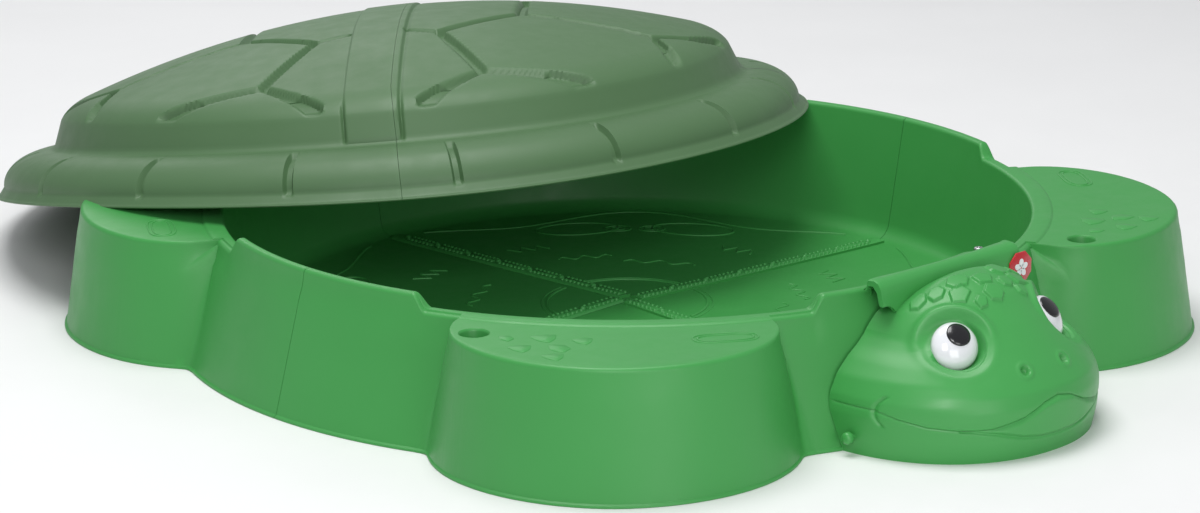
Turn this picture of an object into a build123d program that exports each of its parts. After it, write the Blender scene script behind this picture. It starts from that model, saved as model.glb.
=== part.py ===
"""Turtle-shaped sandbox with a two-piece domed cover.

Units are millimetres. +Z is up and the head points towards -Y. Everything is laid out about the
basin's centre on the ground, where four identical quarters meet along X and Y, and is moved as it
is saved so that the origin is the middle of the whole part's footprint. The cover lies tilted over
the basin, slid back so that the sand can be reached.
"""

import os
from math import cos, radians, sin

from build123d import *

# ---- frame ----
BASIN_PLACE = (-15.2, -137.8, 0.0)    # the basin's centre, from the middle of the footprint
OVER = 20.0                           # how far a cutting shape runs past what it cuts

# ---- basin ----
RIM_Z = 148.5            # top of the high rim, either side of each seam
LOW_RIM_Z = 133.0        # top of the rim beside a seat
RIM_OUTER_R = 447.0
RIM_INNER_R = 436.5
BASE_R = 490.0           # outer wall at the ground
FLOOR_Z = 12.0           # top of the floor
FLOOR_R = 410.0          # foot of the inner wall
WALL = 5.0               # moulded wall thickness
STEP_ANGLE = 19.0        # from a seam to where the rim drops to the seat
SEAM_GAP = 0.25          # half the gap between two quarters
SEAM_RIB = 4.0           # bulkhead that closes a quarter at its seam
FLOOR_FILLET = 16.0

# ---- seats ----
SEAT_Z = 132.0
SEAT_TOP = (463.0, 128.0, 161.0)      # distance out, half depth, half width
SEAT_FOOT = (446.0, 165.0, 184.0)
SEAT_HOLE_R = 14.0
SEAT_HOLE_REACH = 496.0               # distance of the hole from the origin
SEAT_HOLE_TURN = 15.8                 # hole's angle from the seat's centre line
SEAT_CUP_DEPTH = 55.0

# ---- lap lip and seam rivets ----
LIP_WIDTH = 14.0
LIP_THICKNESS = 3.0
LIP_CLEARANCE = 0.3
LIP_START = 18.0
LIP_END = 394.0
RIVET_R = 3.0
RIVET_HEAD_R = 6.5
RIVET_HEAD = 2.5
RIVET_CLEARANCE = 0.15
SEAM_RIVET_SPOTS = ((444.0, 34.0), (443.0, 112.0))    # out from the centre, up

# ---- cover ----
COVER_CENTRE = (51.0, 429.0, 110.5)   # centre of the bottom edge's plane
COVER_SLOPE = (0.045, 0.2015)          # fall of that plane along +X and +Y
COVER_BAND_TURN = -134.0              # direction of the raised band, seen from above
COVER_R = 470.0
COVER_FLANGE_R = 463.0
COVER_CORNER_R = 402.0                # where the wall meets the flange
COVER_WALL_TOP_R = 388.0
COVER_SHOULDER_R = 362.0
COVER_FLANGE_Z = 12.0
COVER_CORNER_Z = 52.0
COVER_WALL_Z = 98.0
COVER_SHOULDER_Z = 118.0
COVER_TOP_Z = 172.0
COVER_WALL = 4.0
COVER_SEAM_OFFSET = 23.0              # seam's distance from the middle of the band
COVER_SEAM_GAP = 0.25
COVER_FLANGE_RIB = 3.0                # thickness of the rib along the seam, under each half
COVER_RIVET_REACH = (-270.0, -90.0, 90.0, 270.0)
COVER_RIB_DEPTH = 26.0
COVER_CROWN_FLAT = 6.0                # small level spot at the very top

# ---- head ----
HEAD_BACK_Y = -440.0
HEAD_SECTIONS = ((0.0, 154.0, 160.0), (50.0, 160.0, 171.0), (92.0, 147.0, 148.0),
                 (132.0, 80.0, 108.0), (164.0, 44.0, 66.0))    # height, half width, depth
HEAD_EDGE_Y = -450.0                  # open back edge of both head shells
HEAD_PARTING_Z = 50.0
HEAD_PARTING_GAP = 0.3
HEAD_WALL = 4.0
HEAD_GAP = 0.5                        # between the head and the basin wall
COLLAR_HALF_WIDTH = 100.0
COLLAR_PLATE_Y = -472.0
COLLAR_PLATE = 5.0
COLLAR_WEB_Z = 150.0
COLLAR_TOP_Z = 160.0
COLLAR_PLATE_FOOT_Z = 112.0
COLLAR_LIP_Z = 138.0
COLLAR_LIP_R = (429.0, 433.6)

# ---- eyes, badge, pins and screw ----
EYE_CENTRE = (66.0, -538.0, 109.0)    # right eye; the left one is its mirror image
EYE_FACING = (0.42, -0.81, 0.41)
EYE_R = 24.0
EYE_DOME = 6.0
EYE_RIM = 5.0
EYE_SEAT_GAP = 0.1
EYE_CUP_WALL = 4.0
EYE_CUP_DEPTH = 20.0
PUPIL_R = 12.5
PUPIL_THICKNESS = 4.0
PUPIL_RISE = 9.0                      # pupil's centre above the eye's centre
PIN_CENTRE = (147.5, -480.0, 18.0)
PIN_HEAD_R = 6.0
PIN_SHANK_R = 3.2
PIN_HEAD = 8.0
PIN_LENGTH = 26.0
BADGE_CENTRE = (86.0, 147.0)
BADGE_R = 12.0
BADGE_THICKNESS = 2.0
BADGE_GAP = 0.1
COLLAR_SCREW_TURN = -79.6
COLLAR_SCREW_R = 2.0
COLLAR_SCREW_HEAD_R = 5.0
COLLAR_SCREW_HEAD = 2.5
COLLAR_SCREW_LENGTH = 24.0

os.makedirs("parts", exist_ok=True)


def save(piece, name):
    placed = piece.moved(Location(BASIN_PLACE))
    placed.label = name
    export_step(placed, f"parts/{name}.step")


def radial_point(distance, turn, height):
    return (distance * cos(radians(turn)), distance * sin(radians(turn)), height)


# ---- one basin quarter, between the +X and +Y seams ----
rim_slope = (BASE_R - RIM_OUTER_R) / RIM_Z
bowl_slope = (RIM_INNER_R - FLOOR_R) / (RIM_Z - FLOOR_Z)

with BuildPart() as bowl:
    with BuildSketch(Plane.XZ):
        with BuildLine():
            Polyline((0, FLOOR_Z), (FLOOR_R, FLOOR_Z),
                     (RIM_INNER_R + OVER * bowl_slope, RIM_Z + OVER), (0, RIM_Z + OVER), close=True)
        make_face()
    revolve(axis=Axis.Z)
    fillet(bowl.edges().group_by(Axis.Z)[0], FLOOR_FILLET)

with BuildPart() as bowl_skin:
    with BuildSketch(Plane.XZ):
        with BuildLine():
            Polyline((0, FLOOR_Z - WALL), (FLOOR_R + WALL / 2, FLOOR_Z - WALL),
                     (RIM_INNER_R + WALL + OVER * bowl_slope, RIM_Z + OVER), (0, RIM_Z + OVER),
                     close=True)
        make_face()
    revolve(axis=Axis.Z)
    fillet(bowl_skin.edges().group_by(Axis.Z)[0], FLOOR_FILLET + WALL)


def seat_cutter(start_turn, floor_height):
    """The air above the low rim, from one step to the other."""
    with BuildPart() as air:
        with BuildSketch(Plane.XY.offset(floor_height)):
            with BuildLine():
                first = radial_point(2 * BASE_R, start_turn, 0)[:2]
                last = radial_point(2 * BASE_R, 90 - start_turn, 0)[:2]
                Polyline((0, 0), first, last, close=True)
            make_face()
        extrude(amount=RIM_Z)
    return air.part


def seat_block(shrink, top_z, foot_z):
    """A tapered seat on the quarter's diagonal, shrunk by the wall for its cavity."""
    with BuildPart() as block:
        for height, (distance, depth, width) in ((foot_z, SEAT_FOOT), (top_z, SEAT_TOP)):
            diagonal = Plane(origin=radial_point(distance, 45, height),
                             x_dir=radial_point(1, 45, 0), z_dir=(0, 0, 1))
            with BuildSketch(diagonal):
                Ellipse(depth - shrink, width - shrink)
        loft()
    return block.part


def ring_block(shrink, top_z, foot_z):
    """The solid cone frustum under the rim, over one quarter turn."""
    with BuildPart() as ring:
        with BuildSketch(Plane.XZ):
            with BuildLine():
                foot_r = BASE_R - foot_z * rim_slope - shrink
                top_r = BASE_R - top_z * rim_slope - shrink
                Polyline((0, foot_z), (foot_r, foot_z), (top_r, top_z), (0, top_z), close=True)
            make_face()
        revolve(axis=Axis.Z, revolution_arc=90)
    return ring.part


hole_spot = radial_point(SEAT_HOLE_REACH, 45 - SEAT_HOLE_TURN, SEAT_Z)

with BuildPart() as cavity:
    add(ring_block(WALL, RIM_Z - WALL, 0))
    add(seat_cutter(STEP_ANGLE - 0.6, LOW_RIM_Z - WALL), mode=Mode.SUBTRACT)
    add(seat_block(WALL, SEAT_Z - WALL, 0))
    add(bowl_skin.part, mode=Mode.SUBTRACT)
    with Locations((0, 0, -OVER)):
        Box(SEAM_RIB + SEAM_GAP, 3 * BASE_R, 3 * RIM_Z, align=(Align.MIN, Align.CENTER, Align.MIN),
            mode=Mode.SUBTRACT)
        Box(3 * BASE_R, SEAM_RIB + SEAM_GAP, 3 * RIM_Z, align=(Align.CENTER, Align.MIN, Align.MIN),
            mode=Mode.SUBTRACT)
    with Locations(hole_spot):
        Cylinder(SEAT_HOLE_R + WALL / 2, SEAT_CUP_DEPTH + WALL,
                 align=(Align.CENTER, Align.CENTER, Align.MAX), mode=Mode.SUBTRACT)

with BuildPart() as quarter:
    add(ring_block(0, RIM_Z, 0))
    add(seat_cutter(STEP_ANGLE, LOW_RIM_Z), mode=Mode.SUBTRACT)
    add(seat_block(0, SEAT_Z, 0))
    add(bowl.part, mode=Mode.SUBTRACT)
    add(cavity.part, mode=Mode.SUBTRACT)
    with Locations(hole_spot):
        Cylinder(SEAT_HOLE_R, SEAT_CUP_DEPTH, align=(Align.CENTER, Align.CENTER, Align.MAX),
                 mode=Mode.SUBTRACT)
    with Locations((0, 0, -OVER)):
        Box(SEAM_GAP, 3 * BASE_R, 3 * RIM_Z, align=(Align.MIN, Align.CENTER, Align.MIN),
            mode=Mode.SUBTRACT)
        Box(3 * BASE_R, SEAM_GAP, 3 * RIM_Z, align=(Align.CENTER, Align.MIN, Align.MIN),
            mode=Mode.SUBTRACT)
    # lap lip along the +X seam: it is rooted in this quarter's floor and lies on the next one's
    with Locations((LIP_START, -LIP_WIDTH, FLOOR_Z + LIP_CLEARANCE)):
        Box(LIP_END - LIP_START, 2 * LIP_WIDTH, LIP_THICKNESS,
            align=(Align.MIN, Align.MIN, Align.MIN))
    with Locations((LIP_START, SEAM_GAP, FLOOR_Z - 1)):
        Box(LIP_END - LIP_START, LIP_WIDTH - SEAM_GAP, LIP_THICKNESS,
            align=(Align.MIN, Align.MIN, Align.MIN))
    # rivet holes through both seam ribs
    for reach, height in SEAM_RIVET_SPOTS:
        with Locations(Plane(origin=(reach, 0, height), z_dir=(0, 1, 0))):
            Cylinder(RIVET_R + RIVET_CLEARANCE, 4 * SEAM_RIB, mode=Mode.SUBTRACT)
        with Locations(Plane(origin=(0, reach, height), z_dir=(1, 0, 0))):
            Cylinder(RIVET_R + RIVET_CLEARANCE, 4 * SEAM_RIB, mode=Mode.SUBTRACT)

quarter_turns = {"basin_quarter_rear_right": 0, "basin_quarter_rear_left": 90,
                 "basin_quarter_front_left": 180, "basin_quarter_front_right": 270}
screw_spot = radial_point((RIM_OUTER_R + RIM_INNER_R) / 2, COLLAR_SCREW_TURN, COLLAR_TOP_Z)
for name, turn in quarter_turns.items():
    with BuildPart() as placed:
        add(quarter.part.rotate(Axis.Z, turn))
        if name == "basin_quarter_front_right":
            with Locations(screw_spot):
                Cylinder(COLLAR_SCREW_R + RIVET_CLEARANCE, COLLAR_SCREW_LENGTH + 1,
                         align=(Align.CENTER, Align.CENTER, Align.MAX), mode=Mode.SUBTRACT)
    save(placed.part, name)


# ---- rivets that hold the quarters together, two at each seam ----
def rivet(grip):
    """A headed shank along +Z, centred on its grip, with a swaged far end."""
    with BuildPart() as body:
        Cylinder(RIVET_R, grip + 2 * RIVET_HEAD)
        with Locations((0, 0, grip / 2)):
            Cylinder(RIVET_HEAD_R, RIVET_HEAD, align=(Align.CENTER, Align.CENTER, Align.MIN))
        with Locations((0, 0, -grip / 2)):
            Cylinder(RIVET_HEAD_R * 0.8, RIVET_HEAD, align=(Align.CENTER, Align.CENTER, Align.MAX))
        fillet(body.edges().group_by(Axis.Z)[-1], RIVET_HEAD * 0.4)
    return body.part


basin_rivet = rivet(2 * (SEAM_RIB + SEAM_GAP) + 0.2)
with BuildPart() as basin_seam_rivets:
    for turn in quarter_turns.values():
        for reach, height in SEAM_RIVET_SPOTS:
            along = radial_point(1, turn, 0)
            across = radial_point(1, turn + 90, 0)
            spot = Plane(origin=(along[0] * reach, along[1] * reach, height), z_dir=across)
            add(basin_rivet.moved(spot.location))
save(basin_seam_rivets.part, "basin_seam_rivets")


# ---- cover: built about its own axis, +X across the seam, then laid over the basin ----
slope_x, slope_y = COVER_SLOPE
cover_up = Vector(slope_x, slope_y, 1).normalized()
band_direction = Vector(*radial_point(1, COVER_BAND_TURN, 0))
cover_across = band_direction.cross(cover_up).normalized() * -1
cover_place = Plane(origin=COVER_CENTRE, x_dir=cover_across, z_dir=cover_up)


def cover_mass(inset):
    """The cover's filled-in volume, shrunk by an inset for its hollow."""
    with BuildPart() as mass:
        with BuildSketch(Plane.XZ):
            with BuildLine():
                foot = (COVER_R - inset, 0)
                flange_top = (COVER_FLANGE_R - 22 - inset, COVER_CORNER_Z - 9 - inset)
                shoulder = (COVER_SHOULDER_R - inset, COVER_SHOULDER_Z - inset)
                crown = (COVER_CROWN_FLAT, COVER_TOP_Z - inset)
                crown_mid = (COVER_SHOULDER_R / 2,
                             COVER_TOP_Z - (COVER_TOP_Z - COVER_SHOULDER_Z) * 0.25 - inset)
                Polyline((0, COVER_TOP_Z - inset), (0, 0), foot,
                         (COVER_FLANGE_R - inset, COVER_FLANGE_Z), flange_top,
                         (COVER_CORNER_R - inset, COVER_CORNER_Z - inset),
                         (COVER_WALL_TOP_R - inset, COVER_WALL_Z - inset), shoulder)
                ThreePointArc(shoulder, crown_mid, crown)
                Line(crown, (0, COVER_TOP_Z - inset))
            make_face()
        revolve(axis=Axis.Z)
    return mass.part


def cover_rib_height(reach):
    """Height of the middle of the seam rib at a distance along the seam."""
    crown = COVER_TOP_Z - (COVER_TOP_Z - COVER_SHOULDER_Z) * (reach / COVER_SHOULDER_R) ** 2
    return crown - (COVER_WALL + COVER_RIB_DEPTH) / 2


cover_outside = cover_mass(0)
cover_inside = cover_mass(COVER_WALL)
rib_outside = cover_mass(COVER_WALL / 2)
rib_inside = cover_mass(COVER_RIB_DEPTH)


def slab(low_x, high_x):
    """Everything of the cover between two planes across its seam."""
    with BuildPart() as block:
        with Locations((low_x, 0, -OVER)):
            Box(high_x - low_x, 3 * COVER_R, 2 * COVER_TOP_Z,
                align=(Align.MIN, Align.CENTER, Align.MIN))
    return block.part


def cover_half(low_x, high_x, rib_low_x):
    """One half of the cover, with the rib that stiffens it along the seam."""
    with BuildPart() as rib:
        add(rib_outside)
        add(rib_inside, mode=Mode.SUBTRACT)
        add(slab(rib_low_x, rib_low_x + COVER_FLANGE_RIB), mode=Mode.INTERSECT)
    with BuildPart() as half:
        add(cover_outside)
        add(cover_inside, mode=Mode.SUBTRACT)
        add(slab(low_x, high_x), mode=Mode.INTERSECT)
        add(rib.part)
        for reach in COVER_RIVET_REACH:
            spot = Plane(origin=(COVER_SEAM_OFFSET, reach, cover_rib_height(reach)),
                         z_dir=(1, 0, 0))
            with Locations(spot):
                Cylinder(RIVET_R + RIVET_CLEARANCE, 6 * COVER_FLANGE_RIB, mode=Mode.SUBTRACT)
    return half.part


left_end = COVER_SEAM_OFFSET - COVER_SEAM_GAP
right_end = COVER_SEAM_OFFSET + COVER_SEAM_GAP
half_left = cover_half(-2 * COVER_R, left_end, left_end - COVER_FLANGE_RIB)
half_right = cover_half(right_end, 2 * COVER_R, right_end)
save(half_left.moved(cover_place.location), "cover_half_left")
save(half_right.moved(cover_place.location), "cover_half_right")

cover_rivet = rivet(2 * (COVER_FLANGE_RIB + COVER_SEAM_GAP) + 0.2)
with BuildPart() as cover_seam_rivets:
    for reach in COVER_RIVET_REACH:
        spot = Plane(origin=(COVER_SEAM_OFFSET, reach, cover_rib_height(reach)), z_dir=(1, 0, 0))
        add(cover_rivet.moved(spot.location))
save(cover_seam_rivets.part.moved(cover_place.location), "cover_seam_rivets")


# ---- head: an upper shell with a collar over the rim, and a jaw below the mouth line ----
def basin_wall_cone(gap):
    """The basin's outer wall as a solid, grown by a gap, to trim what stands against it."""
    with BuildPart() as cone:
        with BuildSketch(Plane.XZ):
            with BuildLine():
                foot_r = BASE_R + OVER * rim_slope + gap
                Polyline((0, -OVER), (foot_r, -OVER), (RIM_OUTER_R + gap, RIM_Z + gap),
                         (0, RIM_Z + gap), close=True)
            make_face()
        revolve(axis=Axis.Z)
    return cone.part


def head_mass(inset):
    """The head's filled-in volume, lofted through its level sections."""
    with BuildPart() as mass:
        for height, half_width, depth in HEAD_SECTIONS:
            top = HEAD_SECTIONS[-1][0]
            level = min(height, top - inset)
            if height == 0:
                level = -OVER if inset else 0.0
            with BuildSketch(Plane(origin=(0, HEAD_BACK_Y, level))):
                Ellipse(half_width - inset, depth - inset)
        loft()
        if not inset:
            with Locations((0, HEAD_EDGE_Y, -OVER)):
                Box(4 * BASE_R, BASE_R, 2 * RIM_Z, mode=Mode.INTERSECT,
                    align=(Align.CENTER, Align.MAX, Align.MIN))
    return mass.part


def eye_plane(side, lift=0.0):
    """The plane an eye lies on; side is +1 for the right eye and -1 for the left."""
    facing = Vector(side * EYE_FACING[0], EYE_FACING[1], EYE_FACING[2]).normalized()
    centre = Vector(side * EYE_CENTRE[0], EYE_CENTRE[1], EYE_CENTRE[2]) + facing * lift
    return Plane(origin=centre, x_dir=Vector(0, 0, 1).cross(facing).normalized(), z_dir=facing)


def level_slab(low, high):
    with BuildPart() as slab:
        with Locations((0, HEAD_BACK_Y, low)):
            Box(4 * BASE_R, 2 * BASE_R, high - low,
                align=(Align.CENTER, Align.CENTER, Align.MIN))
    return slab.part


wall_cone = basin_wall_cone(HEAD_GAP)
head_top = HEAD_SECTIONS[-1][0]

with BuildPart() as collar_plate:
    with Locations((0, COLLAR_PLATE_Y, COLLAR_PLATE_FOOT_Z)):
        Box(2 * COLLAR_HALF_WIDTH, COLLAR_PLATE, COLLAR_TOP_Z - COLLAR_PLATE_FOOT_Z,
            align=(Align.CENTER, Align.MIN, Align.MIN))
    with Locations((0, COLLAR_PLATE_Y, COLLAR_WEB_Z)):
        Box(2 * COLLAR_HALF_WIDTH, RIM_OUTER_R, COLLAR_TOP_Z - COLLAR_WEB_Z,
            align=(Align.CENTER, Align.MIN, Align.MIN))
    with BuildPart(mode=Mode.PRIVATE) as inside:
        Cylinder(COLLAR_LIP_R[0], 3 * RIM_Z)
    add(inside.part, mode=Mode.SUBTRACT)
    with BuildPart(mode=Mode.PRIVATE) as hook:
        with Locations((0, 0, COLLAR_LIP_Z)):
            Cylinder(COLLAR_LIP_R[1], COLLAR_TOP_Z - COLLAR_LIP_Z,
                     align=(Align.CENTER, Align.CENTER, Align.MIN))
            Cylinder(COLLAR_LIP_R[0], COLLAR_TOP_Z - COLLAR_LIP_Z,
                     align=(Align.CENTER, Align.CENTER, Align.MIN), mode=Mode.SUBTRACT)
        with Locations((0, -RIM_OUTER_R, RIM_Z)):
            Box(2 * COLLAR_HALF_WIDTH, RIM_OUTER_R, 2 * RIM_Z, mode=Mode.INTERSECT)
    add(hook.part)

with BuildPart() as head_upper:
    add(head_mass(0))
    add(head_mass(HEAD_WALL), mode=Mode.SUBTRACT)
    add(collar_plate.part)
    for side in (-1, 1):
        with BuildSketch(eye_plane(side)):
            Circle(EYE_R + EYE_CUP_WALL)
        extrude(amount=-EYE_CUP_DEPTH)
        with BuildSketch(eye_plane(side)):
            Circle(EYE_R + RIVET_CLEARANCE)
        extrude(amount=OVER, mode=Mode.SUBTRACT)
        with BuildSketch(eye_plane(side)):
            Circle(EYE_R + RIVET_CLEARANCE)
        extrude(amount=-EYE_RIM, mode=Mode.SUBTRACT)
    add(level_slab(HEAD_PARTING_Z + HEAD_PARTING_GAP, 2 * RIM_Z), mode=Mode.INTERSECT)
    add(wall_cone, mode=Mode.SUBTRACT)
    with Locations(screw_spot):
        Cylinder(COLLAR_SCREW_R + RIVET_CLEARANCE, COLLAR_TOP_Z - COLLAR_WEB_Z + 1,
                 align=(Align.CENTER, Align.CENTER, Align.MAX), mode=Mode.SUBTRACT)
save(head_upper.part, "head_upper")

with BuildPart() as head_jaw:
    add(head_mass(0))
    add(head_mass(HEAD_WALL), mode=Mode.SUBTRACT)
    add(level_slab(0, HEAD_PARTING_Z), mode=Mode.INTERSECT)
    add(wall_cone, mode=Mode.SUBTRACT)
    for side in (-1, 1):
        pin_plane = Plane(origin=(side * PIN_CENTRE[0], PIN_CENTRE[1], PIN_CENTRE[2]),
                          z_dir=(side, 0, 0))
        with Locations(pin_plane):
            Cylinder(PIN_SHANK_R + RIVET_CLEARANCE, 2 * PIN_LENGTH, mode=Mode.SUBTRACT)
save(head_jaw.part, "head_jaw")


# ---- eyes, lock pins, badge and collar screw ----
def eye_white(side):
    """A disc with a domed face, made facing +Z and then turned to face outwards."""
    dome_r = (EYE_R ** 2 + EYE_DOME ** 2) / (2 * EYE_DOME)
    with BuildPart() as eye:
        with Locations((0, 0, -EYE_RIM + EYE_SEAT_GAP)):
            Cylinder(EYE_R, EYE_RIM + EYE_DOME, align=(Align.CENTER, Align.CENTER, Align.MIN))
        with Locations((0, 0, EYE_DOME - dome_r)):
            Sphere(dome_r, mode=Mode.INTERSECT)
    return eye.part.moved(eye_plane(side).location)


def eye_pupil(side):
    """A low disc that stands on the white, a little above its middle."""
    with BuildPart() as pupil:
        place = eye_plane(side, EYE_DOME + 0.1)
        raised = Plane(origin=place.origin + place.y_dir * PUPIL_RISE, x_dir=place.x_dir,
                       z_dir=place.z_dir)
        with BuildSketch(raised):
            Circle(PUPIL_R)
        extrude(amount=PUPIL_THICKNESS)
        fillet(pupil.edges(), PUPIL_THICKNESS * 0.3)
    return pupil.part


def lock_pin(side):
    with BuildPart() as pin:
        with BuildSketch(Plane(origin=(side * PIN_CENTRE[0], PIN_CENTRE[1], PIN_CENTRE[2]),
                               z_dir=(side, 0, 0))):
            Circle(PIN_SHANK_R)
        extrude(amount=PIN_HEAD, both=True)
        with BuildSketch(Plane(origin=(side * (PIN_CENTRE[0] + PIN_HEAD), PIN_CENTRE[1],
                                       PIN_CENTRE[2]), z_dir=(side, 0, 0))):
            Circle(PIN_HEAD_R)
        extrude(amount=PIN_HEAD)
    return pin.part


for side, word in ((-1, "left"), (1, "right")):
    save(eye_white(side), f"eye_white_{word}")
    save(eye_pupil(side), f"eye_pupil_{word}")
    save(lock_pin(side), f"head_lock_pin_{word}")

with BuildPart() as badge:
    with BuildSketch(Plane(origin=(BADGE_CENTRE[0], COLLAR_PLATE_Y - BADGE_GAP, BADGE_CENTRE[1]),
                           x_dir=(1, 0, 0), z_dir=(0, -1, 0))):
        RegularPolygon(BADGE_R, 8, rotation=22.5)
    extrude(amount=BADGE_THICKNESS)
save(badge.part, "collar_badge")

with BuildPart() as collar_screw:
    with Locations(screw_spot):
        Cylinder(COLLAR_SCREW_R, COLLAR_SCREW_LENGTH,
                 align=(Align.CENTER, Align.CENTER, Align.MAX))
        Cylinder(COLLAR_SCREW_HEAD_R, COLLAR_SCREW_HEAD,
                 align=(Align.CENTER, Align.CENTER, Align.MIN))
    fillet(collar_screw.edges().group_by(Axis.Z)[-1], COLLAR_SCREW_HEAD * 0.4)
save(collar_screw.part, "collar_screw")
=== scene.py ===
"""Looks of the turtle sandbox: moulded basin quarters, shell cover and head around the CAD frame."""
from math import cos, pi, radians, sin

import bmesh
import bpy
import numpy as np
from mathutils import Matrix, Vector


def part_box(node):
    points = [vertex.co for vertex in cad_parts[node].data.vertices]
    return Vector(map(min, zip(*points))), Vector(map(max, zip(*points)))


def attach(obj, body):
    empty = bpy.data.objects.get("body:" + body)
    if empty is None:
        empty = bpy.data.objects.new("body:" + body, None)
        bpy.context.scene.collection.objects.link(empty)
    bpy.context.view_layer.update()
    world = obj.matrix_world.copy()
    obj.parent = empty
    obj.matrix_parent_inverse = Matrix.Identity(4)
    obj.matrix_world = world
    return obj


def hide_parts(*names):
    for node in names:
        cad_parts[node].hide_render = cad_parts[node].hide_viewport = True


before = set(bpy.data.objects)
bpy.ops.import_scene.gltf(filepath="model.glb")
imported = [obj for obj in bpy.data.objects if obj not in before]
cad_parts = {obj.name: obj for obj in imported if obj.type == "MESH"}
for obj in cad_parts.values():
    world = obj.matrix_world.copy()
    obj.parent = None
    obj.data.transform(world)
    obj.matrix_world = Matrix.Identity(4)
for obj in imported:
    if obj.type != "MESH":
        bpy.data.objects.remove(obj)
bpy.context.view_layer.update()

MM = 0.001

# ---- driving dimensions, millimetres and degrees, laid out about the basin's centre ----
BASIN_PLACE = np.array([-15.2, -137.8, 0.0])    # the basin's centre in the frame of the CAD
FLOOR_Z = 12.0
FLOOR_R = 410.0
FLOOR_FILLET = 20.0
RIM_Z = 148.5
LOW_RIM_Z = 133.5
RIM_INNER_R = 436.5
RIM_OUTER_R = 447.0
BASE_R = 490.0
SEAT_Z = 132.0
SEAT_TOP = (463.0, 128.0, 161.0)       # distance out, half depth, half width
SEAT_FOOT = (446.0, 165.0, 184.0)
SEAT_ROUNDNESS = 1.9                   # exponent of the seat's outline
SEAT_EDGE_R = 5.0
LEDGE_R = 456.0
STEP_NEAR = (18.2, 20.4)               # rim step after a quarter's first seam
STEP_FAR = (17.6, 19.7)                # rim step before its last seam
HOLE_REACH = 496.0
HOLE_TURN = 45.0 - 15.8
HOLE_R = 14.0
HOLE_DEPTH = 55.0
SEAT_RING_REACH = 500.5
SEAT_RING_TURN = 57.5
SEAM_HALF_GAP = 0.35
LIP_WIDTH = 14.0
LIP_HEIGHT = 3.3
LIP_START = 9.0
LIP_END = 392.0
PLATE_PITCH = 52.0
FLOOR_RISE = 11.0                      # how much the sand floor's middle is crowned
FLOOR_RISE_R = 385.0                   # where the crown begins
RIM_EDGE_R = 4.6
SKIRT_Z = 4.0                          # where the wall turns out into the foot at the ground
UNDERSIDE_Z = 5.0


# ---- mesh helpers ----
def make_object(name, points, faces, material, smooth_angle=40.0):
    """A mesh object from points in millimetres, measured from the basin's centre."""
    mesh = bpy.data.meshes.new(name)
    mesh.from_pydata(((np.asarray(points, float) + BASIN_PLACE) * MM).tolist(), [], faces)
    mesh.validate()
    thing = bpy.data.objects.new(name, mesh)
    bpy.context.scene.collection.objects.link(thing)
    mesh.materials.append(material)
    tidy_mesh(thing, smooth_angle)
    return thing


def tidy_mesh(thing, smooth_angle=40.0):
    """Outward normals, no doubled points, smooth shading that breaks at sharp edges."""
    work = bmesh.new()
    work.from_mesh(thing.data)
    bmesh.ops.remove_doubles(work, verts=work.verts, dist=0.00001)
    bmesh.ops.recalc_face_normals(work, faces=work.faces)
    for edge in work.edges:
        edge.smooth = len(edge.link_faces) != 2 or edge.calc_face_angle(0) < radians(smooth_angle)
    for face in work.faces:
        face.smooth = True
    work.to_mesh(thing.data)
    work.free()


def grid_faces(rows, columns, wrap=False):
    """Quads between the points of a grid stored row by row."""
    faces = []
    last = columns if wrap else columns - 1
    for i in range(rows - 1):
        for j in range(last):
            k = (j + 1) % columns
            faces.append((i * columns + j, i * columns + k, (i + 1) * columns + k,
                          (i + 1) * columns + j))
    return faces


def round_steps(sides, start=0.0):
    """(cosine, sine) of evenly spaced steps round a circle; start is a share of one step."""
    turns = [2 * pi * (k + start) / sides for k in range(sides)]
    return [(cos(turn), sin(turn)) for turn in turns]


def end_caps(rows, columns):
    """Faces that close the first and the last row of a wrapped grid."""
    return [list(range(columns))[::-1], [(rows - 1) * columns + k for k in range(columns)]]


def shell_faces(outer_rows, picked, columns):
    """Faces of two skins stored one after the other and joined at their edges.

    The inner skin has only the picked rows of the outer one.
    """
    last = outer_rows - 1
    start = outer_rows * columns
    faces = grid_faces(outer_rows, columns)
    faces += [tuple(start + i for i in f)[::-1] for f in grid_faces(len(picked), columns)]
    for edge in (0, columns - 1):
        for k in range(len(picked) - 1):
            side = [i * columns + edge for i in range(picked[k], picked[k + 1] + 1)]
            faces.append(side + [start + (k + 1) * columns + edge, start + k * columns + edge])
    for row_out, row_in in ((0, 0), (last, len(picked) - 1)):
        for j in range(columns - 1):
            a, b = row_out * columns + j, start + row_in * columns + j
            faces.append((a, a + 1, b + 1, b))
    return faces


def place_piece(thing, body, node):
    """Fixes a piece to its body and puts it in the place of a node of the CAD."""
    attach(thing, body)
    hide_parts(node)


def smooth_step(x, low, high):
    """0 below low, 1 above high and a smooth rise between them."""
    t = np.clip((x - low) / (high - low), 0, 1)
    return t * t * (3 - 2 * t)


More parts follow.
